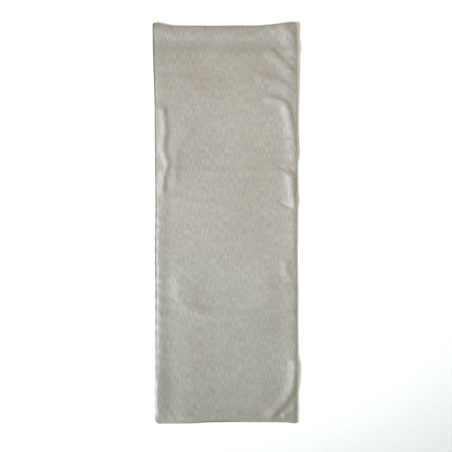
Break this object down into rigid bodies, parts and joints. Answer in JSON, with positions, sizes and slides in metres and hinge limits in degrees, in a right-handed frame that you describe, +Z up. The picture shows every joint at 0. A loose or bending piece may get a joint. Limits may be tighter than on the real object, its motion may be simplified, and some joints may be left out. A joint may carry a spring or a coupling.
{
  "type": "table runner",
  "caption": "Long lined cloth runner for a table: a plain woven face and a backing sewn together all round, turned right side out and pressed flat.",
  "frame": {"origin": "centre of the runner's underside, where it lies on the table", "axes": "+X across the runner, +Y along it, away from the end seam with the hand-closed gap, +Z up out of the face cloth"},
  "size_m": [0.33, 0.915, 0.0027],
  "materials": {
    "face_cloth": "plain woven natural linen and cotton cloth, matt, pale warm grey",
    "backing_cloth": "plain woven cotton cloth, matt, a little darker than the face",
    "needle_thread": "matt spun sewing thread",
    "bobbin_thread": "matt spun sewing thread",
    "hand_thread": "matt spun sewing thread, a little darker than the cloth"
  },
  "bodies": {
    "root": {"face_panel": "face_cloth", "backing_panel": "backing_cloth", "seam_needle_thread": "needle_thread", "seam_bobbin_thread": "bobbin_thread", "closing_thread": "hand_thread"}
  },
  "joints": []
}
